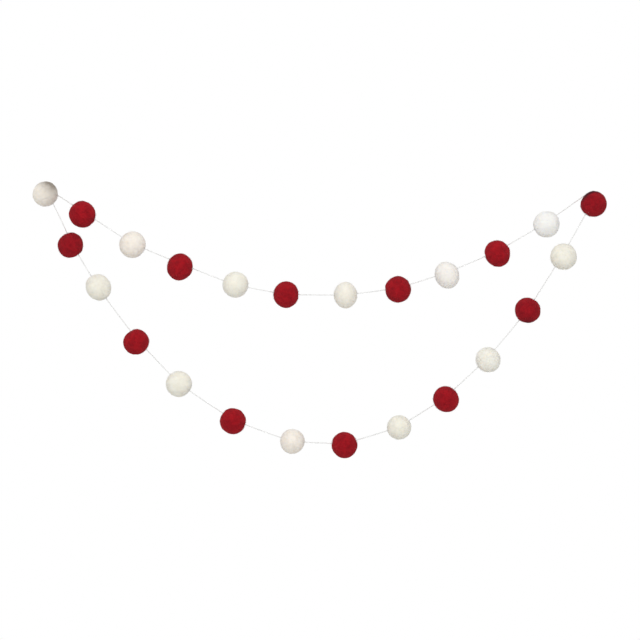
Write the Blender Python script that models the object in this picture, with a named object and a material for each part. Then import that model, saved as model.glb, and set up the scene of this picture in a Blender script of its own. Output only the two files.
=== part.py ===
"""Felt ball garland: 24 wool felt balls, cream and red by turns, on one ring of cotton thread.

The ring hangs in two swags from two points, with the first ball below the left point and the
twelfth below the right one. Metres, +Z up, +X to the right, +Y to the back. The origin is the
left hanging point.
"""

import bmesh
import bpy
from mathutils import Vector, noise

MM = 0.001
GARLAND = "felt_ball_garland"

THREAD_SIZE = 1.1 * MM
BORE_GAP = 0.3 * MM
# The thread keeps a ball's own direction for about this far on each side of the ball's middle.
THREAD_HOLD = 24 * MM
# A span longer than this runs free between two balls.
FREE_SPAN = 15 * MM
# Where a free span leaves one ball's felt and meets the next, as shares of the span.
SPAN_ENDS = (0.25, 0.75)
ROUND_SIDES_LEVEL = 2

BALL_DETAIL = 3
LUMP_HEIGHT = 0.35 * MM
LUMPS_PER_RADIUS = 1.3
LUMP_SHIFT = 7.3
# The felt is drawn in where the thread enters it.
DRAW_IN = 0.5 * MM
DRAW_IN_FROM = 0.86

FELTS = {
    "cream": (0.80, 0.76, 0.67),
    "red": (0.30, 0.011, 0.016),
}
FELT_ROUGHNESS = 0.95
THREAD_COLOUR = (0.78, 0.77, 0.74)
THREAD_ROUGHNESS = 0.85

# The balls in order round the ring: felt, mean size, length along the hole as a share of the width
# across it, then the centre to the right, back and up. Sizes and places are in mm. Most balls are
# squeezed a little along the thread, and one is longer along it.
BALLS = (
    ("cream", 24.2, 0.98, 1.5, -14.5, -2.5),
    ("red", 25.1, 1.0, 36.5, -10.0, -22.0),
    ("cream", 25.5, 0.98, 84.5, -10.5, -51.0),
    ("red", 25.1, 0.94, 130.0, -10.0, -72.5),
    ("cream", 25.0, 0.97, 183.5, -11.0, -89.5),
    ("red", 24.7, 0.96, 232.0, -10.0, -99.0),
    ("cream", 24.2, 0.89, 289.0, -10.0, -99.5),
    ("red", 24.8, 0.97, 339.5, -10.5, -94.0),
    ("cream", 25.0, 0.89, 386.5, -11.0, -80.5),
    ("red", 24.6, 0.92, 435.0, -10.5, -59.5),
    ("cream", 25.6, 1.0, 482.0, -11.0, -31.5),
    ("red", 24.7, 0.98, 527.0, -13.0, -12.0),
    ("cream", 25.7, 1.0, 498.5, -11.0, -62.5),
    ("red", 24.2, 0.98, 464.0, -10.0, -114.0),
    ("cream", 24.4, 0.97, 426.0, -10.5, -161.5),
    ("red", 24.6, 0.96, 385.5, -10.5, -199.5),
    ("cream", 23.6, 0.98, 340.5, -10.0, -226.5),
    ("red", 24.6, 0.97, 288.0, -10.5, -243.5),
    ("cream", 24.0, 1.0, 238.0, -10.0, -240.0),
    ("red", 24.7, 1.0, 181.0, -10.5, -220.5),
    ("cream", 25.1, 1.0, 129.0, -11.0, -185.0),
    ("red", 24.3, 0.95, 88.0, -10.0, -144.5),
    ("cream", 25.1, 1.09, 52.0, -11.0, -92.0),
    ("red", 24.1, 0.95, 25.0, -10.0, -51.5),
)

# The thread's way round, to the right, back and up, in mm. It starts inside the first ball, turns
# over the left point, runs through the upper swag, turns over the right point into the twelfth
# ball, comes back through the lower swag and ends inside the first ball. Every ball hangs a
# little below its thread, so these points are not the balls' centres.
ROUTE = (
    (2.4, -13.4, -3.6),
    (-0.7, -7.4, -2.9),
    (-2.7, -3.0, -2.2),
    (-3.7, -0.4, 0.1),
    (-2.7, 0.2, 2.6),
    (-0.2, 0.3, 3.7),
    (2.1, 0.0, 2.8),
    (5.4, -0.7, 0.8),
    (37.5, -10.0, -19.5),
    (85.0, -10.5, -50.0),
    (131.5, -10.0, -69.5),
    (183.5, -11.0, -89.5),
    (232.5, -10.0, -98.5),
    (289.0, -10.0, -99.0),
    (339.0, -10.5, -92.5),
    (385.5, -11.0, -78.0),
    (434.0, -10.5, -57.5),
    (481.0, -11.0, -30.0),
    (519.9, -1.8, -3.1),
    (522.7, -1.1, -1.1),
    (525.1, -0.8, -0.3),
    (527.4, -1.0, -1.4),
    (528.3, -1.9, -3.9),
    (527.8, -4.3, -6.0),
    (525.7, -10.0, -9.8),
    (521.9, -12.4, -17.0),
    (497.0, -11.0, -61.5),
    (464.0, -10.0, -113.5),
    (425.0, -10.5, -160.0),
    (384.5, -10.5, -197.5),
    (340.0, -10.0, -225.5),
    (287.5, -10.5, -241.5),
    (238.0, -10.0, -239.5),
    (181.5, -10.5, -219.0),
    (129.5, -11.0, -184.0),
    (90.0, -10.0, -143.0),
    (51.5, -11.0, -92.0),
    (26.5, -10.0, -50.0),
    (7.1, -13.6, -10.0),
    (2.9, -14.4, -4.4),
)


def clear_scene():
    for old in list(bpy.data.objects):
        bpy.data.objects.remove(old)


def new_collection(name):
    collection = bpy.data.collections.new(name)
    bpy.context.scene.collection.children.link(collection)
    return collection


def plain_material(name, colour, roughness):
    material = bpy.data.materials.new(name)
    material.use_nodes = True
    shader = material.node_tree.nodes["Principled BSDF"]
    shader.inputs["Base Color"].default_value = (*colour, 1)
    shader.inputs["Roughness"].default_value = roughness
    shader.inputs["Metallic"].default_value = 0
    return material


def in_metres(row):
    return Vector(row) * MM


def direction_at(points, i):
    """The way the thread runs at a point: between its two spans, nearer to the shorter one's."""
    if i == 0 or i == len(points) - 1:
        first = max(i - 1, 0)
        return (points[first + 1] - points[first]).normalized()
    before, after = points[i] - points[i - 1], points[i + 1] - points[i]
    return (before / before.length**3 + after / after.length**3).normalized()


def on_span(points, i, share):
    """A point of the smooth curve, part of the way from route point i to the next."""
    start, end = points[i], points[i + 1]
    pull = min(THREAD_HOLD, (end - start).length)
    leave, arrive = direction_at(points, i) * pull, direction_at(points, i + 1) * pull
    rest = 1 - share
    return (
        start * (1 + 2 * share) * rest**2
        + leave * share * rest**2
        + end * share**2 * (3 - 2 * share)
        - arrive * share**2 * rest
    )


def thread_points():
    """Points of the thread: all of them where it turns, and two for each free span."""
    points = [in_metres(row) for row in ROUTE]
    found = []
    for i in range(len(points) - 1):
        if (points[i + 1] - points[i]).length > FREE_SPAN:
            found += [on_span(points, i, share) for share in SPAN_ENDS]
        else:
            found.append(points[i])
    return found + [points[-1]]


def round_tube(name, points, size, closed, collection):
    """A curve object of round section through the points, as a ring or with flat ends."""
    curve = bpy.data.curves.new(name, "CURVE")
    curve.dimensions = "3D"
    curve.bevel_depth = size / 2
    curve.bevel_resolution = ROUND_SIDES_LEVEL
    curve.use_fill_caps = not closed
    spline = curve.splines.new("POLY")
    spline.points.add(len(points) - 1)
    for place, point in zip(spline.points, points):
        place.co = (*point, 1)
    spline.use_cyclic_u = closed
    spline.use_smooth = True
    tube = bpy.data.objects.new(name, curve)
    collection.objects.link(tube)
    return tube


def as_mesh(tube, collection):
    """Replaces a curve object by a mesh of the same shape, with its loose ends joined on."""
    graph = bpy.context.evaluated_depsgraph_get()
    mesh = bpy.data.meshes.new_from_object(tube.evaluated_get(graph))
    work = bmesh.new()
    work.from_mesh(mesh)
    bmesh.ops.remove_doubles(work, verts=work.verts, dist=0.01 * MM)
    bmesh.ops.recalc_face_normals(work, faces=work.faces)
    work.to_mesh(mesh)
    work.free()
    solid = bpy.data.objects.new(tube.name, mesh)
    solid.matrix_world = tube.matrix_world
    collection.objects.link(solid)
    bpy.data.objects.remove(tube)
    return solid


def bore_cutter(points, collection):
    """The thread's way round made wider: what each ball loses so that the thread runs clear."""
    tube = round_tube("bore", points, THREAD_SIZE + 2 * BORE_GAP, True, collection)
    bpy.context.view_layer.update()
    cutter = as_mesh(tube, collection)
    cutter.hide_render = True
    cutter.display_type = "WIRE"
    return cutter


def thread_direction_in(centre):
    """The thread's direction at its route point nearest to a ball's centre."""
    points = [in_metres(row) for row in ROUTE]
    nearest = min(range(len(points)), key=lambda i: (points[i] - centre).length)
    return direction_at(points, nearest)


def felt_ball(name, size, squeeze, centre, number, material, bore, collection):
    """A hand-rolled ball: a sphere with shallow lumps, squeezed along its hole and bored."""
    across = 2 / (1 + squeeze)
    along = across * squeeze
    bpy.ops.mesh.primitive_ico_sphere_add(subdivisions=BALL_DETAIL, radius=size / 2)
    ball = bpy.context.object
    ball.name = ball.data.name = name
    shift = Vector((number, -number, number)) * LUMP_SHIFT
    for vertex in ball.data.vertices:
        out = vertex.co.normalized()
        near_hole = max(0.0, (abs(out.z) - DRAW_IN_FROM) / (1 - DRAW_IN_FROM))
        lump = noise.noise(out * LUMPS_PER_RADIUS + shift) * LUMP_HEIGHT
        vertex.co += out * (lump - DRAW_IN * near_hole)
        vertex.co.x *= across
        vertex.co.y *= across
        vertex.co.z *= along
    ball.rotation_mode = "QUATERNION"
    ball.rotation_quaternion = thread_direction_in(centre).to_track_quat("Z", "Y")
    ball.location = centre
    ball.data.materials.append(material)
    ball.data.shade_smooth()
    cut = ball.modifiers.new("bore", "BOOLEAN")
    cut.operation = "DIFFERENCE"
    cut.solver = "EXACT"
    cut.object = bore
    for old in list(ball.users_collection):
        old.objects.unlink(ball)
    collection.objects.link(ball)
    return ball


def main():
    clear_scene()
    garland = new_collection(GARLAND)
    cutters = new_collection("cutters")
    felts = {
        felt: plain_material(felt + "_felt", colour, FELT_ROUGHNESS) for felt, colour in FELTS.items()
    }
    cotton = plain_material("cotton_thread", THREAD_COLOUR, THREAD_ROUGHNESS)

    way = thread_points()
    thread = round_tube("thread", way, THREAD_SIZE, False, garland)
    thread.data.materials.append(cotton)
    bore = bore_cutter(way, cutters)
    for number, (felt, size, squeeze, *centre) in enumerate(BALLS, 1):
        name = f"ball_{number:02d}_{felt}"
        felt_ball(name, size * MM, squeeze, in_metres(centre), number, felts[felt], bore, garland)


main()
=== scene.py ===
"""Felt ball garland: wool felt balls, cream and red by turns, on one ring of cotton thread.

It hangs in two swags from two points. Each ball is a hand-rolled ball of matted wool with creases,
puckered holes and stray fibres, and the thread is three twisted plies. Metres, +Z up.
"""

import math

import bpy
import numpy as np
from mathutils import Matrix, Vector, noise


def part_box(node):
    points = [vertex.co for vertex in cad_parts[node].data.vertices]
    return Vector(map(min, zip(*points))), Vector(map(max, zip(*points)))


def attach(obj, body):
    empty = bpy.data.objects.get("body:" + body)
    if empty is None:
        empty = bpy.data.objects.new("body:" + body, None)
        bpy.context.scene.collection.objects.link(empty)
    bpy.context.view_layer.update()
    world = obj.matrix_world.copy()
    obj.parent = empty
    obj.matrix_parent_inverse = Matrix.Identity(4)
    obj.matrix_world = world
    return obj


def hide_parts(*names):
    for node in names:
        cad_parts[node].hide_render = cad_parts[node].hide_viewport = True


bl_info = {
    "name": "Felt Ball Garland",
    "version": (1, 0, 0),
    "blender": (4, 5, 0),
    "location": "3D View > Sidebar > Garland",
    "description": "Makes the wool balls, the thread and the stage of a felt ball garland",
    "category": "Add Mesh",
}

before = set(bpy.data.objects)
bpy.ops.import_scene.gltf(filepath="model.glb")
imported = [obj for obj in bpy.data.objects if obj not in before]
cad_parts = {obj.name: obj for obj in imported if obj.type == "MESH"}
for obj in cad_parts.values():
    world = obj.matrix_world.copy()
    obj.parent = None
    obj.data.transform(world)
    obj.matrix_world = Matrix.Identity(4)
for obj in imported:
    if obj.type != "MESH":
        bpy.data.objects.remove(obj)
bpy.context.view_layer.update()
BALLS = sorted(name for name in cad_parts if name.startswith("ball_"))

# The thread's way round, to the right, back and up. It starts inside the first ball, turns over
# the left hanging point, runs through the upper swag, turns over the right point into the twelfth
# ball, comes back through the lower swag and ends inside the first ball.
ROUTE = (
    (0.0024, -0.0134, -0.0036),
    (-0.0007, -0.0074, -0.0029),
    (-0.0027, -0.0030, -0.0022),
    (-0.0037, -0.0004, 0.0001),
    (-0.0027, 0.0002, 0.0026),
    (-0.0002, 0.0003, 0.0037),
    (0.0021, 0.0000, 0.0028),
    (0.0054, -0.0007, 0.0008),
    (0.0375, -0.0100, -0.0195),
    (0.0850, -0.0105, -0.0500),
    (0.1315, -0.0100, -0.0695),
    (0.1835, -0.0110, -0.0895),
    (0.2325, -0.0100, -0.0985),
    (0.2890, -0.0100, -0.0990),
    (0.3390, -0.0105, -0.0925),
    (0.3855, -0.0110, -0.0780),
    (0.4340, -0.0105, -0.0575),
    (0.4810, -0.0110, -0.0300),
    (0.5199, -0.0018, -0.0031),
    (0.5227, -0.0011, -0.0011),
    (0.5251, -0.0008, -0.0003),
    (0.5274, -0.0010, -0.0014),
    (0.5283, -0.0019, -0.0039),
    (0.5278, -0.0043, -0.0060),
    (0.5257, -0.0100, -0.0098),
    (0.5219, -0.0124, -0.0170),
    (0.4970, -0.0110, -0.0615),
    (0.4640, -0.0100, -0.1135),
    (0.4250, -0.0105, -0.1600),
    (0.3845, -0.0105, -0.1975),
    (0.3400, -0.0100, -0.2255),
    (0.2875, -0.0105, -0.2415),
    (0.2380, -0.0100, -0.2395),
    (0.1815, -0.0105, -0.2190),
    (0.1295, -0.0110, -0.1840),
    (0.0900, -0.0100, -0.1430),
    (0.0515, -0.0110, -0.0920),
    (0.0265, -0.0100, -0.0500),
    (0.0071, -0.0136, -0.0100),
    (0.0029, -0.0144, -0.0044),
)
# The thread keeps a ball's own direction for about this far on each side of the ball's middle.
THREAD_HOLD = 0.024
# The route's point in the second ball, from where the thread runs free to the third.
FIRST_OPEN_SPAN = 8
# How close together the points lie of the way along which the balls are bored.
BORE_STEP = 0.0004
PLY_SIDES = 6
# A ply's thickness as a share of the thread's.
PLY_SHARE = 0.53

# Thread hairs: the shortest as a share of the longest, how far from the thread's middle they start as
# a share of its thickness, how far they stray round it in radians, and how late they lift off.
SHORTEST_HAIR = 0.4
HAIR_ROOT = 0.42
HAIR_TURN = 0.9
HAIR_LATENESS = 1.6
# Stray fibres of the wool: the shortest as a share of the longest, their sideways curl and wave as
# shares of their length, how many of them bend back to the ball, how late the others lift off, and
# how deep their roots lie.
SHORTEST_FIBRE = 0.35
FIBRE_CURL = 0.55
FIBRE_WAVE = 0.12
LOOPED_FIBRES = 0.55
FIBRE_LATENESS = 1.4
FIBRE_ROOT_DEPTH = 0.00008
# The spread of heights between none and the greatest. Both let most hairs and fibres lie low.
HAIR_HEIGHTS = (1.2, 3.0)
FIBRE_HEIGHTS = (1.3, 3.0)
# A hair's line runs through these shares of its length, from a pointed root to a pointed tip, with a
# ring of points at each place between them. The swell is each ring's share of the hair's thickness.
HAIR_STATIONS = np.linspace(0, 1, 6)
HAIR_SWELL = np.array([0.7, 1.0, 1.0, 0.7])
HAIR_SIDES = 3
HAIR_POINTS = 2 + HAIR_SIDES * len(HAIR_SWELL)

BALL_RINGS = 92
BALL_SIDES = 104
# How much closer together the rings lie near the holes.
RING_CROWDING = 0.08
# Each ring gets fibres by its girth, and the two end rings as if they lay this angle off the axis.
END_ANGLE = 0.05
# Past this share of the greatest distance from its middle, a packed ball's points lie on its skin
# and not in its bore. Past the same share of their distance along the axis, they lie round a hole.
SKIN_SHARE = 0.8
BORE_RINGS = 6
# Where the first and the last ring of the bore lie, as shares of the thread's stretch in the ball.
BORE_ENDS = (0.06, 0.94)
# The felt closes on the thread with this much room all round.
BORE_ROOM = 0.00012
PUCKER_PLEATS = 7
# How much the pleats add to and take from the depth of a pucker, and how much painted shade the
# deepest of it gets.
PLEAT_SHARE = 0.22
PUCKER_SHADE = 0.3

# Creases: their half lengths and half widths, the shallowest as a share of the deepest, and how much
# painted shade the deepest gets.
CREASE_LENGTHS = (0.002, 0.005)
CREASE_WIDTHS = (0.0005, 0.0008)
SHALLOWEST_CREASE = 0.4
CREASE_SHADE = 0.15
# The lips along a crease: their height as a share of its depth, and how many half widths off they
# lie.
LIP_HEIGHT = 0.35
LIP_OFFSET = 2.0
# How far a crease wanders to each side, and the length in which its bend turns by a radian.
WANDER = 0.0006
WANDER_LENGTH = 0.0021

# Lumps of a ball rolled by hand: how many there are to its radius, and their height.
BROAD_LUMPS = (1.4, 0.00040)
SMALL_LUMPS = (3.7, 0.00016)
FINE_LUMPS = (7.0, 0.00009)
# Each ball takes its lumps from a part of the noise this far from the last ball's.
LUMP_SHIFT = Vector((7.3, 2.1, 4.7))
# Layered noise: how much weaker and how much finer each layer is than the last, and their number.
FINE_LAYERS = (1.0, 2.0, 2)
EDGE_LAYERS = (0.8, 2.0, 4)

# Painted shadow on single balls: the ball's number, the direction from its middle (right, back, up),
# how many degrees of the ball the place reaches, and its strength. Ball 1 is painted darker over its
# right side and along its upper right rim, ball 12 over its top and upper left, and ball 14 at its
# bottom.
PAINTED_SHADOW_PLACES = (
    (1, (0.37, -0.17, 0.91), 84, 0.58),
    (1, (0.49, -0.17, 0.85), 50, 0.25),
    (1, (0.95, -0.20, 0.25), 130, 0.4),
    (12, (-0.08, -0.12, 0.99), 42, 0.95),
    (12, (-0.45, -0.20, 0.87), 38, 0.55),
    (12, (-0.80, -0.20, 0.57), 44, 0.7),
    (14, (0.0, -0.25, -0.97), 44, 0.55),
)
# Places pressed in, written in the same way with their depth in metres, or less than nothing where
# the thread pulls the felt out into a small corner.
PRESSED_PLACES = (
    (2, (0.88, -0.10, -0.46), 16, -0.0006),
    (12, (-0.74, -0.10, 0.67), 40, 0.0006),
    (14, (-0.66, -0.10, -0.75), 16, -0.0007),
)
# The share of a place's reach over which it fades out, how ragged its edge is in degrees, and how
# many bays the edge has to the ball's radius.
PLACE_EDGE = 0.9
PLACE_RAGGEDNESS = 5
PLACE_BAYS = 3
# How much duller, whiter and rosier single balls are all over than the others of their colour.
DULL_BALLS = {8: 0.06, 12: 0.14, 14: 0.12, 24: 0.1}
BLEACHED_BALLS = {9: 0.45, 11: 0.75, 15: 0.2}
BLEACHED_WOOL = (0.893, 0.893, 0.883)
ROSY_BALLS = {1: 0.8, 3: 0.9, 7: 0.3, 9: 0.5, 19: 0.9}
ROSY_TINT = (1.02, 0.975, 1.0)
# Cotton in its low places, as a share of its own brightness.
COTTON_LOW = 0.93
# Tones and dryness change over this part of one pattern's values, or of the sum of two patterns.
ONE_PATTERN = (0.3, 0.7)
TWO_PATTERNS = (0.7, 1.3)
FELT_DRYNESS = (0.88, 1.0)
COTTON_DRYNESS = (0.75, 0.95)
# How strongly the matted tufts, the hair lines and the fine grain show in the felt's relief, and the
# hair lines in its colour.
TUFT_RELIEF = 0.8
LINE_RELIEF = 0.35
GRAIN_RELIEF = 0.25
LINE_COLOUR = 0.45

# The frame of the photograph: how wide it is at the garland, and the point at its middle.
VIEW_WIDTH = 0.6144
VIEW_MIDDLE = Vector((0.2646, -0.0110, -0.1234))
SENSOR_WIDTH = 36
# The two lights: where each stands from the point at the middle, and its width.
KEY_LIGHT = (Vector((-0.15, -1.5, 1.1)), 1.2)
FRONT_LIGHT = (Vector((0.0, -2.3, 0.1)), 1.6)
FLOOR_PAINTS = ((0.88, 0.88, 0.87), (0.90, 0.90, 0.89))


def unit(vectors):
    """The same directions with a length of one."""
    return vectors / np.linalg.norm(vectors, axis=-1, keepdims=True)


def angles_round(count):
    """Angles in equal steps once round."""
    return np.arange(count) * math.tau / count


def thread_way(step):
    """Points about a step apart on the smooth curve through the route."""
    points = np.array(ROUTE)
    spans = np.diff(points, axis=0)
    lengths = np.linalg.norm(spans, axis=1)
    pulls = spans / lengths[:, None] ** 3
    directions = unit(np.vstack([spans[:1], pulls[:-1] + pulls[1:], spans[-1:]]))
    way = []
    for i, length in enumerate(lengths):
        share = np.linspace(0, 1, max(1, round(length / step)), endpoint=False)[:, None]
        rest = 1 - share
        hold = min(THREAD_HOLD, length)
        way.append(
            points[i] * (1 + 2 * share) * rest**2
            + directions[i] * hold * share * rest**2
            + points[i + 1] * share**2 * (3 - 2 * share)
            - directions[i + 1] * hold * share**2 * rest
        )
    return np.vstack([*way, points[-1:]])


def closed_loop():
    """The thread's way as a ring, cut open between two balls, so that no ball's stretch is parted."""
    way = thread_way(BORE_STEP)
    between = np.mean([ROUTE[FIRST_OPEN_SPAN], ROUTE[FIRST_OPEN_SPAN + 1]], axis=0)
    cut = np.argmin(np.linalg.norm(way - between, axis=1))
    return np.vstack([way[cut:], way[:cut]])


def untwisted_axes(way):
    """Two axes across the way at each of its points, which turn no more than the way bends."""
    tangents = unit(np.gradient(way, axis=0))
    side = unit(np.cross(tangents[0], (0.0, 1.0, 0.0)))
    sides = []
    for tangent in tangents:
        side = unit(side - tangent * (side @ tangent))
        sides.append(side)
    sides = np.array(sides)
    return sides, np.cross(tangents, sides)


def ring_faces(rings, sides, first, joined):
    """Four-sided faces between rings of points, whose last ring joins the first if joined."""
    faces = []
    for ring in range(rings if joined else rings - 1):
        here = first + ring * sides
        there = first + (ring + 1) % rings * sides
        for side in range(sides):
            beside = (side + 1) % sides
            faces.append((here + side, here + beside, there + beside, there + side))
    return faces


def with_hairs(points, faces, hair_points, hair_faces):
    """The points and faces of a body and its hairs as one mesh."""
    moved = [tuple(corner + len(points) for corner in face) for face in hair_faces]
    return np.vstack([points, hair_points]), faces + moved


def new_piece(name, points, faces, material):
    """A smooth mesh object of one material, linked to the scene."""
    mesh = bpy.data.meshes.new(name)
    mesh.from_pydata([tuple(point) for point in points], [], faces)
    mesh.materials.append(material)
    mesh.shade_smooth()
    piece = bpy.data.objects.new(name, mesh)
    bpy.context.scene.collection.objects.link(piece)
    return piece


def add_values(piece, name, values):
    """Keeps a number at each of the piece's points, for its material."""
    attribute = piece.data.attributes.new(name, "FLOAT", "POINT")
    attribute.data.foreach_set("value", values.astype(np.float32))


def add_node(tree, kind, **values):
    """A node with the plain values of its inputs and its own settings."""
    node = tree.nodes.new(kind)
    for name, value in values.items():
        socket = node.inputs.get(name.replace("_", " ").title())
        if socket:
            socket.default_value = value
        elif hasattr(node, name):
            setattr(node, name, value)
        else:
            raise ValueError(f"{kind} has nothing named {name}")
    return node


def felt_noise(tree, place, per_metre, detail, swirl, shift=0.0):
    """Cloudy wool structure of one size, as a value about one half."""
    made = add_node(
        tree, "ShaderNodeTexNoise", noise_dimensions="4D", w=shift, scale=per_metre, detail=detail,
        roughness=0.6, distortion=swirl,
    )
    tree.links.new(place.outputs["Object"], made.inputs["Vector"])
    return made.outputs["Fac"]


def stretched(tree, value, span, onto):
    """A value with one span of it eased onto another."""
    made = add_node(
        tree, "ShaderNodeMapRange", interpolation_type="SMOOTHSTEP", from_min=span[0],
        from_max=span[1], to_min=onto[0], to_max=onto[1],
    )
    tree.links.new(value, made.inputs["Value"])
    return made.outputs["Result"]


def reckoned(tree, operation, first, second):
    """The result of one operation on two values, each a number or another node's."""
    made = add_node(tree, "ShaderNodeMath", operation=operation)
    for socket, value in zip(made.inputs, (first, second)):
        if isinstance(value, (int, float)):
            socket.default_value = value
        else:
            tree.links.new(value, socket)
    return made.outputs["Value"]


def blended(tree, share, first, second, way="MIX"):
    """A colour part of the way from the first to the second, or to their product."""
    made = tree.nodes.new("ShaderNodeMix")
    made.data_type = "RGBA"
    made.blend_type = way
    tree.links.new(share, made.inputs["Factor"])
    for name, colour in (("A", first), ("B", second)):
        socket = [s for s in made.inputs if s.name == name and s.type == "RGBA"][0]
        if isinstance(colour, bpy.types.NodeSocket):
            tree.links.new(colour, socket)
        else:
            socket.default_value = (*colour, 1)
    return [s for s in made.outputs if s.type == "RGBA"][0]


def hair_lines(tree, place, per_metre, thinness, shift):
    """Thin wandering lines, where a cloudy pattern passes through its middle value."""
    cloud = felt_noise(tree, place, per_metre, detail=1.5, swirl=0.7, shift=shift)
    off_middle = reckoned(tree, "ABSOLUTE", reckoned(tree, "SUBTRACT", cloud, 0.5), 0.0)
    return stretched(tree, off_middle, (0.0, thinness), (1.0, 0.0))


def new_material(name):
    """A material with its tree, its shader and a node of the piece's own coordinates."""
    material = bpy.data.materials.new(name)
    material.use_nodes = True
    tree = material.node_tree
    return material, tree, tree.nodes["Principled BSDF"], tree.nodes.new("ShaderNodeTexCoord")


def add_relief(tree, shader, relief, strength, depth):
    """Makes the surface uneven by a pattern that is too fine for the mesh."""
    bump = add_node(tree, "ShaderNodeBump", strength=strength, distance=depth)
    tree.links.new(relief, bump.inputs["Height"])
    tree.links.new(bump.outputs["Normal"], shader.inputs["Normal"])


def tinted(tree, wool, mark, colour, way="MIX"):
    """The wool with a colour mixed in as far as the piece's own values of that name say."""
    share = add_node(tree, "ShaderNodeAttribute", attribute_name=mark)
    return blended(tree, share.outputs["Fac"], wool, colour, way)


def felt_material(name, dark, colour, light, dull, sheen, depth):
    """Matted wool: cloudy tones, hair lines across each other, and a dry uneven surface.

    Depth is the share of the light that goes a little way into the wool before it comes out.
    """
    material, tree, shader, place = new_material(name)
    broad = felt_noise(tree, place, per_metre=170, detail=3, swirl=0.4)
    tufts = felt_noise(tree, place, per_metre=1300, detail=5, swirl=1.8, shift=3.0)
    grain = felt_noise(tree, place, per_metre=5200, detail=3, swirl=0.6, shift=5.0)
    long_lines = hair_lines(tree, place, per_metre=620, thinness=0.022, shift=1.0)
    short_lines = hair_lines(tree, place, per_metre=900, thinness=0.03, shift=9.0)
    lines = reckoned(tree, "MAXIMUM", long_lines, short_lines)

    tone = stretched(tree, reckoned(tree, "ADD", broad, tufts), TWO_PATTERNS, (0.0, 1.0))
    wool = blended(tree, tone, dark, colour)
    wool = blended(tree, reckoned(tree, "MULTIPLY", lines, LINE_COLOUR), wool, light)
    wool = tinted(tree, wool, "bleach", BLEACHED_WOOL)
    wool = tinted(tree, wool, "rosy", ROSY_TINT, "MULTIPLY")
    # Painted shade: the wool is mixed towards its darker colour in creases, round the holes and in
    # the shadowed places, and also by the duller tone of single balls and, at random, of stray
    # fibres.
    wool = tinted(tree, wool, "shade", dull)
    tree.links.new(wool, shader.inputs["Base Color"])
    dryness = stretched(tree, grain, ONE_PATTERN, FELT_DRYNESS)
    tree.links.new(dryness, shader.inputs["Roughness"])

    relief = reckoned(tree, "MULTIPLY", tufts, TUFT_RELIEF)
    relief = reckoned(tree, "ADD", relief, reckoned(tree, "MULTIPLY", lines, LINE_RELIEF))
    relief = reckoned(tree, "ADD", relief, reckoned(tree, "MULTIPLY", grain, GRAIN_RELIEF))
    add_relief(tree, shader, relief, strength=0.75, depth=0.0003)
    shader.inputs["Specular IOR Level"].default_value = 0.05
    shader.inputs["Sheen Weight"].default_value = sheen
    shader.inputs["Sheen Roughness"].default_value = 0.6
    shader.inputs["Subsurface Weight"].default_value = depth
    shader.inputs["Subsurface Radius"].default_value = (1, 0.9, 0.75)
    shader.inputs["Subsurface Scale"].default_value = 0.0025
    return material


def cotton_material(colour):
    """Spun cotton: short pale fibres, a little uneven along each ply."""
    material, tree, shader, place = new_material("cotton_thread")
    slubs = felt_noise(tree, place, per_metre=420, detail=2, swirl=0.3)
    fibres = felt_noise(tree, place, per_metre=6000, detail=4, swirl=1.2, shift=2.0)
    tone = stretched(tree, reckoned(tree, "ADD", slubs, fibres), TWO_PATTERNS, (0.0, 1.0))
    cotton = blended(tree, tone, [part * COTTON_LOW for part in colour], colour)
    tree.links.new(cotton, shader.inputs["Base Color"])
    dryness = stretched(tree, fibres, ONE_PATTERN, COTTON_DRYNESS)
    tree.links.new(dryness, shader.inputs["Roughness"])
    add_relief(tree, shader, fibres, strength=0.5, depth=0.0001)
    shader.inputs["Specular IOR Level"].default_value = 0.2
    shader.inputs["Sheen Weight"].default_value = 0.2
    shader.inputs["Subsurface Weight"].default_value = 0.3
    shader.inputs["Subsurface Radius"].default_value = (1, 1, 1)
    shader.inputs["Subsurface Scale"].default_value = 0.0004
    return material


def twisted_plies(way, size, plies, twist):
    """Points and faces of the plies, each a round strand that winds round the thread's middle."""
    sides, backs = untwisted_axes(way)
    along = np.concatenate([[0.0], np.cumsum(np.linalg.norm(np.diff(way, axis=0), axis=1))])
    ply_radius = size / 2 * PLY_SHARE
    winding_radius = size / 2 - ply_radius
    corners = angles_round(PLY_SIDES)
    points, faces = [], []
    for ply in range(plies):
        turn = along / twist * math.tau + ply * math.tau / plies
        outward = np.cos(turn)[:, None] * sides + np.sin(turn)[:, None] * backs
        middle = way + winding_radius * outward
        angle = turn[:, None] + corners
        rings = (
            middle[:, None]
            + ply_radius * np.cos(angle)[..., None] * sides[:, None]
            + ply_radius * np.sin(angle)[..., None] * backs[:, None]
        )
        first = len(points) * len(way) * PLY_SIDES
        points.append(rings.reshape(-1, 3))
        faces += ring_faces(len(way), PLY_SIDES, first, False)
        faces.append(tuple(range(first + PLY_SIDES - 1, first - 1, -1)))
        last = first + (len(way) - 1) * PLY_SIDES
        faces.append(tuple(range(last, last + PLY_SIDES)))
    return np.vstack(points), faces


def thread_hairs(rng, way, settings):
    """Points and faces of cotton hairs that lie along the thread and stand off it at one end."""
    count, longest = settings.hairs, settings.hair_length
    sides, backs = untwisted_axes(way)
    step = np.linalg.norm(way[1] - way[0])
    reach = longest * rng.uniform(SHORTEST_HAIR, 1.0, count)
    start = rng.integers(0, len(way) - int(longest / step) - 1, count)
    share = HAIR_STATIONS[:, None]
    here = (start + share * reach / step).round().astype(int)
    angle = rng.uniform(0, math.tau, count) + rng.normal(0, HAIR_TURN, count) * share
    outward = np.cos(angle)[..., None] * sides[here] + np.sin(angle)[..., None] * backs[here]
    lift = settings.hair_lift * rng.beta(*HAIR_HEIGHTS, count)
    height = settings.size * HAIR_ROOT + lift * share**HAIR_LATENESS
    return spindles(way[here] + outward * height[..., None], outward, settings.hair_size)


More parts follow.
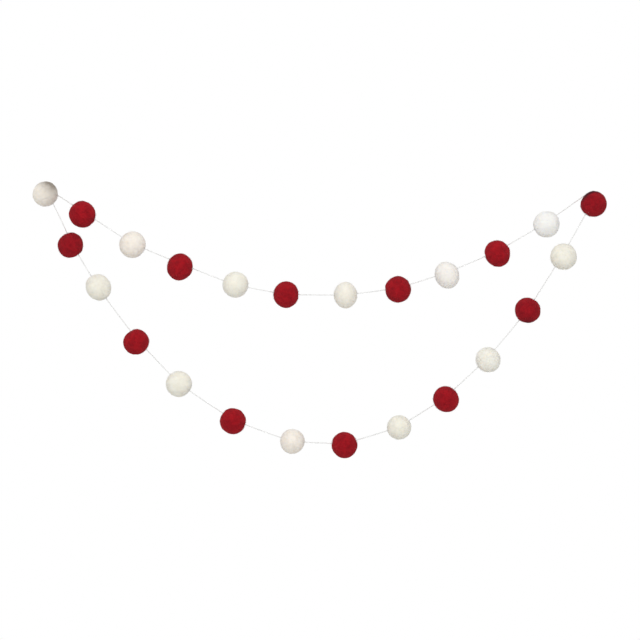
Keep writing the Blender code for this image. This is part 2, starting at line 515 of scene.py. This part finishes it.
def stray_fibres(rng, middle, directions, radii, settings):
    """Points and faces of wool fibres that lie along the ball, curl, and stand off it a little."""
    count = settings.fibres
    rings, sides = radii.shape
    girth = np.sin(np.linspace(END_ANGLE, math.pi - END_ANGLE, rings))
    ring = rng.choice(rings, count, p=girth / girth.sum())
    root = ring, rng.integers(0, sides, count)
    out, radius = directions[root], radii[root]
    ahead = unit(np.cross(out, rng.normal(size=(count, 3))))
    aside = np.cross(out, ahead)

    share = HAIR_STATIONS[:, None, None]
    reach = (settings.fibre_length * rng.uniform(SHORTEST_FIBRE, 1.0, count) / radius)[:, None]
    curl = rng.normal(0, FIBRE_CURL, count)[:, None]
    wave = rng.normal(0, FIBRE_WAVE, count)[:, None]
    sideways = reach * (curl * share**2 + wave * np.sin(math.tau * share))
    bearing = unit(out + reach * share * ahead + sideways * aside)
    height = (settings.fibre_lift * rng.beta(*FIBRE_HEIGHTS, count))[:, None]
    looped = (rng.random(count) < LOOPED_FIBRES)[:, None]
    rise = np.where(looped, np.sin(math.pi * share), share**FIBRE_LATENESS) * height
    line = middle + bearing * (radius[:, None] + (rise - FIBRE_ROOT_DEPTH))
    return spindles(line, bearing, settings.fibre_size)


def spindles(line, outward, thickness):
    """Points and faces of closed hairs, each along its own line of stations."""
    count = line.shape[1]
    tangent = unit(line[2:] - line[:-2])
    across = unit(np.cross(tangent, outward[1:-1]))
    up = np.cross(across, tangent)
    corners = angles_round(HAIR_SIDES)[:, None]
    around = np.cos(corners) * up[:, :, None] + np.sin(corners) * across[:, :, None]
    bands = line[1:-1, :, None] + thickness / 2 * HAIR_SWELL[:, None, None, None] * around

    # Each hair's points: its root, its rings, and its tip.
    bands = bands.transpose(1, 0, 2, 3).reshape(count, -1, 3)
    points = np.concatenate([line[0][:, None], bands, line[-1][:, None]], axis=1)
    tip = HAIR_POINTS - 1
    beside = [(side, (side + 1) % HAIR_SIDES) for side in range(HAIR_SIDES)]
    hair = [(0, 1 + after, 1 + side) for side, after in beside]
    hair += ring_faces(len(HAIR_SWELL), HAIR_SIDES, 1, False)
    hair += [(tip - HAIR_SIDES + side, tip - HAIR_SIDES + after, tip) for side, after in beside]
    starts = range(0, count * HAIR_POINTS, HAIR_POINTS)
    faces = [tuple(start + corner for corner in face) for start in starts for face in hair]
    return points.reshape(-1, 3), faces


class Core:
    """A packed ball's middle, axes and size, and the stretch of thread that runs through it."""

    def __init__(self, node, loop, thread_size, pucker_depth):
        low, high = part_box(node)
        self.middle = np.array((low + high) / 2)
        reach = min(high - low) / 2 - pucker_depth
        inside = np.flatnonzero(np.linalg.norm(loop - self.middle, axis=1) < reach)
        if len(inside) == 0:
            raise ValueError("the thread misses " + node)
        self.stretch = loop[inside[0] : inside[-1] + 1]
        self.bore_radius = thread_size / 2 + BORE_ROOM

        # The axis runs from hole to hole, and the lean is how far both lie to one side of it.
        self.entry = unit(self.stretch[0] - self.middle)
        self.leave = unit(self.stretch[-1] - self.middle)
        self.axis = unit(self.leave - self.entry)
        self.lean = (self.leave + self.entry) / np.linalg.norm(self.leave - self.entry)
        self.side = unit(np.cross(self.axis, (0.0, 1.0, 0.0)))
        self.back = np.cross(self.axis, self.side)
        self.half_along, self.half_across = self.half_sizes(node)

    def half_sizes(self, node):
        """Half the ball's length along its axis and half its width, fitted to the solid's skin."""
        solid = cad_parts[node]
        places = np.array([solid.matrix_world @ vertex.co for vertex in solid.data.vertices])
        offsets = places - self.middle
        distance = np.linalg.norm(offsets, axis=1)
        along = offsets @ self.axis
        skin = (distance > SKIN_SHARE * distance.max()) & (abs(along) < SKIN_SHARE * distance)
        squares = np.column_stack([along**2, distance**2 - along**2])[skin]
        return 1 / np.sqrt(np.linalg.lstsq(squares, np.ones(len(squares)), rcond=None)[0])

    def outer_directions(self, pucker_depth):
        """Directions from the middle to the outer rings, which run from hole to hole."""
        share = np.linspace(0, 1, BALL_RINGS)
        share = share - RING_CROWDING * np.sin(math.tau * share)
        rim = math.asin(self.bore_radius / (self.half_along - pucker_depth))
        down = (rim + (math.pi - 2 * rim) * share)[:, None, None]
        around = angles_round(BALL_SIDES)[None, :, None]
        across = np.cos(around) * self.side + np.sin(around) * self.back
        return unit(
            np.sin(down) * across + np.cos(down) * self.axis + np.cos(down) ** 2 * self.lean
        )

    def bore_rings(self):
        """The bore's wall, from the hole where the thread comes in to the one where it leaves."""
        picks = np.linspace(*BORE_ENDS, BORE_RINGS) * (len(self.stretch) - 1)
        tangents = unit(np.gradient(self.stretch, axis=0))
        around = angles_round(BALL_SIDES)[:, None]
        rings = []
        for pick in picks.round().astype(int):
            tangent = tangents[pick]
            side = unit(self.side - tangent * (self.side @ tangent))
            across = np.cos(around) * side + np.sin(around) * np.cross(tangent, side)
            rings.append(self.stretch[pick] + self.bore_radius * across)
        return np.array(rings)


def creases(directions, rng, radius, count, depth):
    """How far shallow folds sink the felt at each point, along wandering arcs with raised lips."""
    sunk = np.zeros(directions.shape[:-1])
    for _ in range(count):
        centre = unit(rng.normal(size=3))
        run = unit(np.cross(centre, rng.normal(size=3)))
        length, width = rng.uniform(*CREASE_LENGTHS), rng.uniform(*CREASE_WIDTHS)
        along = np.arctan2(directions @ run, directions @ centre) * radius
        wander = WANDER * np.sin(along / WANDER_LENGTH + rng.uniform(0, math.tau))
        beside = np.arcsin(np.clip(directions @ np.cross(centre, run), -1, 1)) * radius
        off = (beside + wander) / width
        fold = np.exp(-(off**2)) - LIP_HEIGHT * np.exp(-((np.abs(off) - LIP_OFFSET) ** 2))
        fading = np.exp(-((along / length) ** 4))
        sunk += depth * rng.uniform(SHALLOWEST_CREASE, 1.0) * fold * fading
    return sunk


def lumps(directions, shift):
    """The unevenness of a ball rolled by hand, from broad to fine."""
    (broad, broad_height), (small, small_height) = BROAD_LUMPS, SMALL_LUMPS
    fine, fine_height = FINE_LUMPS
    raised = np.empty(directions.shape[:-1])
    for index in np.ndindex(raised.shape):
        place = Vector(directions[index])
        raised[index] = (
            broad_height * noise.noise(place * broad + shift)
            + small_height * noise.noise(place * small + shift)
            + fine_height * noise.fractal(place * fine + shift, *FINE_LAYERS)
        )
    return raised


def holes(directions, core, depth, reach, rng):
    """How far the felt is drawn in round its two holes, in small pleats."""
    drawn = np.zeros(directions.shape[:-1])
    around = np.arctan2(directions @ core.back, directions @ core.side)
    for mouth in (core.leave, core.entry):
        off = np.arccos(np.clip(directions @ mouth, -1, 1)) * core.half_along / reach
        wave = np.cos(PUCKER_PLEATS * around + rng.uniform(0, math.tau))
        pleats = 1 + PLEAT_SHARE * wave * np.minimum(off, 1)
        drawn += depth * np.exp(-(off**2)) * pleats
    return drawn


def in_places(places, number, directions):
    """The strength of a ball's own soft-edged places at each point, one on top of the other."""
    total = np.zeros(directions.shape[:-1])
    if all(place[0] != number for place in places):
        return total
    uneven = np.empty(directions.shape[:-1])
    for index in np.ndindex(uneven.shape):
        bays = noise.fractal(Vector(directions[index]) * PLACE_BAYS, *EDGE_LAYERS)
        uneven[index] = PLACE_RAGGEDNESS * bays
    for ball, middle, reach, strength in places:
        if ball == number:
            off = np.degrees(np.arccos(np.clip(directions @ unit(np.array(middle)), -1, 1)))
            share = np.clip((reach - off + uneven) / (PLACE_EDGE * reach), 0, 1)
            total += strength * share**2 * (3 - 2 * share)
    return total


def felt_ball(node, loop, settings, thread_size, loft, wool):
    """One ball with its bore and stray fibres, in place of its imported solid."""
    number = int(node.split("_")[1])
    rng = np.random.default_rng(number)
    core = Core(node, loop, thread_size, settings.pucker_depth)
    directions = core.outer_directions(settings.pucker_depth)
    along = directions @ core.axis
    flattening = (1 - along**2) / core.half_across**2 + along**2 / core.half_along**2
    sunk = creases(directions, rng, core.half_across, settings.creases, settings.crease_depth)
    drawn = holes(directions, core, settings.pucker_depth, settings.pucker_reach, rng)
    pressed = in_places(PRESSED_PLACES, number, directions)
    raised = lumps(directions, LUMP_SHIFT * number)
    radii = loft + 1 / np.sqrt(flattening) + raised - sunk - drawn - pressed
    rings = np.concatenate([core.middle + directions * radii[..., None], core.bore_rings()])
    body = rings.reshape(-1, 3)
    body_faces = ring_faces(len(rings), BALL_SIDES, 0, True)
    fibres, fibre_faces = stray_fibres(rng, core.middle, directions, radii, settings)
    points, faces = with_hairs(body, body_faces, fibres, fibre_faces)
    ball = new_piece(node.replace("ball", "felt_ball"), points, faces, wool)

    # Painted shade, darker the deeper the creases and the puckers round the holes sink, added to the
    # duller tone of single balls and to the painted shadow of single places.
    low = sunk / settings.crease_depth * CREASE_SHADE + drawn / settings.pucker_depth * PUCKER_SHADE
    dull = low + DULL_BALLS.get(number, 0) + in_places(PAINTED_SHADOW_PLACES, number, directions)
    shade = np.zeros(len(body))
    shade[: radii.size] = np.clip(dull, 0, 1).ravel()
    fibre_shade = rng.uniform(0, settings.fibre_shade, settings.fibres)
    fibre_shade = shade.mean() + np.repeat(fibre_shade, HAIR_POINTS)
    add_values(ball, "shade", np.concatenate([shade, fibre_shade]))
    add_values(ball, "bleach", np.full(len(points), BLEACHED_BALLS.get(number, 0)))
    add_values(ball, "rosy", np.full(len(points), ROSY_BALLS.get(number, 0)))
    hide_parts(node)
    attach(ball, "root")


def felt_balls(scene, colour, loft, wool):
    """All the balls of one colour."""
    loop = closed_loop()
    settings, thread_size = scene.garland_felt, scene.garland_thread.size
    for node in BALLS:
        if node.endswith(colour):
            felt_ball(node, loop, settings, thread_size, loft, wool)


class ThreadSettings(bpy.types.PropertyGroup):
    size: bpy.props.FloatProperty(
        name="Thickness", description="Width across the twisted thread", default=0.0011,
        subtype="DISTANCE",
    )
    plies: bpy.props.IntProperty(
        name="Plies", description="Strands twisted together", default=3, min=2
    )
    twist: bpy.props.FloatProperty(
        name="Twist", description="Length in which a ply winds round once", default=0.0034,
        subtype="DISTANCE",
    )
    step: bpy.props.FloatProperty(
        name="Step", description="Length of thread between two rings of points", default=0.00042,
        subtype="DISTANCE",
    )
    hairs: bpy.props.IntProperty(
        name="Hairs", description="Loose hairs on the thread", default=1100, min=1
    )
    hair_length: bpy.props.FloatProperty(
        name="Hair length", description="Longest loose hair", default=0.0045, subtype="DISTANCE"
    )
    hair_lift: bpy.props.FloatProperty(
        name="Hair lift", description="Furthest that a hair's tip stands off", default=0.0014,
        subtype="DISTANCE",
    )
    hair_size: bpy.props.FloatProperty(
        name="Hair thickness", description="Thickness of a loose hair", default=0.00004,
        subtype="DISTANCE",
    )
    colour: bpy.props.FloatVectorProperty(
        name="Colour", description="Bleached cotton", default=(0.96, 0.96, 0.95), subtype="COLOR"
    )


class FeltSettings(bpy.types.PropertyGroup):
    cream: bpy.props.FloatVectorProperty(
        name="Cream", description="Undyed wool", default=(0.882, 0.862, 0.768), subtype="COLOR"
    )
    cream_dark: bpy.props.FloatVectorProperty(
        name="Cream, low", description="Undyed wool where it is matted closest",
        default=(0.823, 0.792, 0.690), subtype="COLOR",
    )
    cream_light: bpy.props.FloatVectorProperty(
        name="Cream, hairs", description="Single undyed hairs", default=(0.912, 0.910, 0.847),
        subtype="COLOR",
    )
    # The colour that the cream wool is mixed towards for painted shade in creases, round holes and in
    # shadowed places, and for the duller tone of single balls and fibres.
    cream_shade_and_dull: bpy.props.FloatVectorProperty(
        name="Cream, dull", description="Dusty undyed wool", default=(0.28, 0.24, 0.20),
        subtype="COLOR",
    )
    red: bpy.props.FloatVectorProperty(
        name="Red", description="Deep red wool", default=(0.385, 0.0075, 0.0135), subtype="COLOR"
    )
    red_dark: bpy.props.FloatVectorProperty(
        name="Red, low", description="Red wool where it is matted closest",
        default=(0.205, 0.0045, 0.0095), subtype="COLOR",
    )
    red_light: bpy.props.FloatVectorProperty(
        name="Red, hairs", description="Single red hairs", default=(0.44, 0.022, 0.030),
        subtype="COLOR",
    )
    # The colour that the red wool is mixed towards for painted shade in creases, round holes and in
    # shadowed places, and for the duller tone of single balls and fibres.
    red_shade_and_dull: bpy.props.FloatVectorProperty(
        name="Red, dull", description="Deepest red wool", default=(0.07, 0.006, 0.012),
        subtype="COLOR",
    )
    cream_loft: bpy.props.FloatProperty(
        name="Cream loft", description="How far undyed wool stands out past the packed ball",
        default=-0.0002, subtype="DISTANCE",
    )
    red_loft: bpy.props.FloatProperty(
        name="Red loft", description="How far red wool stands out past the packed ball",
        default=0.00013, subtype="DISTANCE",
    )
    creases: bpy.props.IntProperty(
        name="Creases", description="Shallow folds in each ball", default=5, min=0
    )
    crease_depth: bpy.props.FloatProperty(
        name="Crease depth", description="Deepest fold", default=0.00026, subtype="DISTANCE"
    )
    pucker_depth: bpy.props.FloatProperty(
        name="Pucker depth", description="How far the felt is drawn in at a hole", default=0.0006,
        subtype="DISTANCE",
    )
    pucker_reach: bpy.props.FloatProperty(
        name="Pucker reach", description="How far round a hole the felt is drawn in", default=0.0019,
        subtype="DISTANCE",
    )
    fibres: bpy.props.IntProperty(
        name="Stray fibres", description="Loose hairs on each ball", default=420, min=0
    )
    fibre_shade: bpy.props.FloatProperty(
        name="Fibre shade", description="How dull the dullest stray fibre is", default=0.4, min=0,
        max=1,
    )
    fibre_length: bpy.props.FloatProperty(
        name="Fibre length", description="Longest stray fibre", default=0.0055, subtype="DISTANCE"
    )
    fibre_lift: bpy.props.FloatProperty(
        name="Fibre lift", description="Furthest that a fibre stands off", default=0.0014,
        subtype="DISTANCE",
    )
    fibre_size: bpy.props.FloatProperty(
        name="Fibre thickness", description="Thickness of a stray fibre", default=0.00006,
        subtype="DISTANCE",
    )


class StageSettings(bpy.types.PropertyGroup):
    camera_distance: bpy.props.FloatProperty(
        name="Camera distance", description="From the garland to the camera", default=2.0,
        subtype="DISTANCE",
    )
    floor_drop: bpy.props.FloatProperty(
        name="Floor drop", description="From the left hanging point down to the floor", default=2.4,
        subtype="DISTANCE",
    )
    floor_size: bpy.props.FloatProperty(
        name="Floor size", description="Width of the floor", default=20.0, subtype="DISTANCE"
    )
    room_light: bpy.props.FloatProperty(
        name="Room light", description="Strength of the even light from all round", default=0.75,
        min=0,
    )
    key_power: bpy.props.FloatProperty(
        name="Key light", description="Power of the large light above the camera", default=10.3,
        subtype="POWER",
    )
    fill_power: bpy.props.FloatProperty(
        name="Front light", description="Power of the large light behind the camera", default=9.7,
        subtype="POWER",
    )


class GARLAND_OT_thread(bpy.types.Operator):
    """Makes the cotton thread of twisted plies"""

    bl_idname = "garland.thread"
    bl_label = "Thread"

    def execute(self, context):
        settings = context.scene.garland_thread
        way = thread_way(settings.step)
        plies = twisted_plies(way, settings.size, settings.plies, settings.twist)
        hairs = thread_hairs(np.random.default_rng(0), way, settings)
        points, faces = with_hairs(*plies, *hairs)
        cotton = cotton_material(settings.colour)
        thread = new_piece("cotton_thread", points, faces, cotton)
        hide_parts("thread")
        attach(thread, "root")
        return {"FINISHED"}


class GARLAND_OT_cream_balls(bpy.types.Operator):
    """Makes the cream balls"""

    bl_idname = "garland.cream_balls"
    bl_label = "Cream Balls"

    def execute(self, context):
        felt = context.scene.garland_felt
        wool = felt_material(
            "cream_felt", felt.cream_dark, felt.cream, felt.cream_light, felt.cream_shade_and_dull,
            sheen=0.08, depth=0.35,
        )
        felt_balls(context.scene, "cream", felt.cream_loft, wool)
        return {"FINISHED"}


class GARLAND_OT_red_balls(bpy.types.Operator):
    """Makes the red balls"""

    bl_idname = "garland.red_balls"
    bl_label = "Red Balls"

    def execute(self, context):
        felt = context.scene.garland_felt
        wool = felt_material(
            "red_felt", felt.red_dark, felt.red, felt.red_light, felt.red_shade_and_dull,
            sheen=0.02, depth=0.1,
        )
        felt_balls(context.scene, "red", felt.red_loft, wool)
        return {"FINISHED"}


class GARLAND_OT_stage(bpy.types.Operator):
    """Makes the camera, the lights, the even room light and the floor"""

    bl_idname = "garland.stage"
    bl_label = "Stage"

    def execute(self, context):
        settings = context.scene.garland_stage
        add_camera(context.scene, settings.camera_distance)
        add_room_light(context.scene, settings.room_light)
        add_area_light("key_light", *KEY_LIGHT, settings.key_power)
        add_area_light("front_light", *FRONT_LIGHT, settings.fill_power)
        add_floor(settings.floor_size, settings.floor_drop)
        context.scene.view_settings.view_transform = "Standard"
        return {"FINISHED"}


def add_camera(scene, distance):
    camera = bpy.data.objects.new("camera", bpy.data.cameras.new("camera"))
    camera.data.sensor_width = SENSOR_WIDTH
    camera.data.lens = SENSOR_WIDTH * distance / VIEW_WIDTH
    camera.location = VIEW_MIDDLE - Vector((0, distance, 0))
    camera.rotation_euler = (math.pi / 2, 0, 0)
    scene.collection.objects.link(camera)
    scene.camera = camera


def add_room_light(scene, strength):
    """Even light from all round, which shows behind the object as plain white."""
    world = bpy.data.worlds.new("room")
    world.use_nodes = True
    tree = world.node_tree
    lighting = tree.nodes["Background"]
    lighting.inputs["Color"].default_value = (1, 1, 1, 1)
    lighting.inputs["Strength"].default_value = strength
    behind = add_node(tree, "ShaderNodeBackground", color=(1, 1, 1, 1), strength=1.0)
    ray = tree.nodes.new("ShaderNodeLightPath")
    choice = tree.nodes.new("ShaderNodeMixShader")
    tree.links.new(ray.outputs["Is Camera Ray"], choice.inputs["Fac"])
    tree.links.new(lighting.outputs["Background"], choice.inputs[1])
    tree.links.new(behind.outputs["Background"], choice.inputs[2])
    tree.links.new(choice.outputs["Shader"], tree.nodes["World Output"].inputs["Surface"])
    scene.world = world


def add_area_light(name, offset, size, power):
    """A round light that faces the point at the middle of the view."""
    light = bpy.data.lights.new(name, "AREA")
    light.shape = "DISK"
    light.size = size
    light.energy = power
    lamp = bpy.data.objects.new(name, light)
    place = VIEW_MIDDLE + offset
    lamp.location = place
    lamp.rotation_mode = "QUATERNION"
    lamp.rotation_quaternion = (VIEW_MIDDLE - place).to_track_quat("-Z", "Y")
    bpy.context.scene.collection.objects.link(lamp)


def add_floor(size, drop):
    bpy.ops.mesh.primitive_plane_add(size=size, location=(VIEW_MIDDLE.x, 0, -drop))
    floor = bpy.context.object
    floor.name = "floor"
    paint, tree, shader, place = new_material("pale_floor")
    clouds = felt_noise(tree, place, per_metre=3, detail=2, swirl=0.2)
    tree.links.new(blended(tree, clouds, *FLOOR_PAINTS), shader.inputs["Base Color"])
    shader.inputs["Roughness"].default_value = 0.9
    floor.data.materials.append(paint)


class GARLAND_PT_panel(bpy.types.Panel):
    """Lists the garland's pieces and their settings"""

    bl_idname = "GARLAND_PT_panel"
    bl_label = "Felt Ball Garland"
    bl_space_type = "VIEW_3D"
    bl_region_type = "UI"
    bl_category = "Garland"

    def draw(self, context):
        scene, column = context.scene, self.layout.column(align=True)
        for operator in OPERATORS:
            column.operator(operator.bl_idname)
        for settings in (scene.garland_thread, scene.garland_felt, scene.garland_stage):
            column.separator()
            for name in type(settings).__annotations__:
                column.prop(settings, name)


OPERATORS = (GARLAND_OT_stage, GARLAND_OT_thread, GARLAND_OT_cream_balls, GARLAND_OT_red_balls)
SETTINGS = {
    "garland_thread": ThreadSettings,
    "garland_felt": FeltSettings,
    "garland_stage": StageSettings,
}


def register():
    for kind in (*SETTINGS.values(), *OPERATORS, GARLAND_PT_panel):
        bpy.utils.register_class(kind)
    for name, kind in SETTINGS.items():
        setattr(bpy.types.Scene, name, bpy.props.PointerProperty(type=kind))


def unregister():
    for name in SETTINGS:
        delattr(bpy.types.Scene, name)
    for kind in (GARLAND_PT_panel, *OPERATORS, *SETTINGS.values()):
        bpy.utils.unregister_class(kind)


def main():
    register()
    bpy.ops.garland.stage()
    bpy.ops.garland.thread()
    bpy.ops.garland.cream_balls()
    bpy.ops.garland.red_balls()


if __name__ == "__main__":
    main()
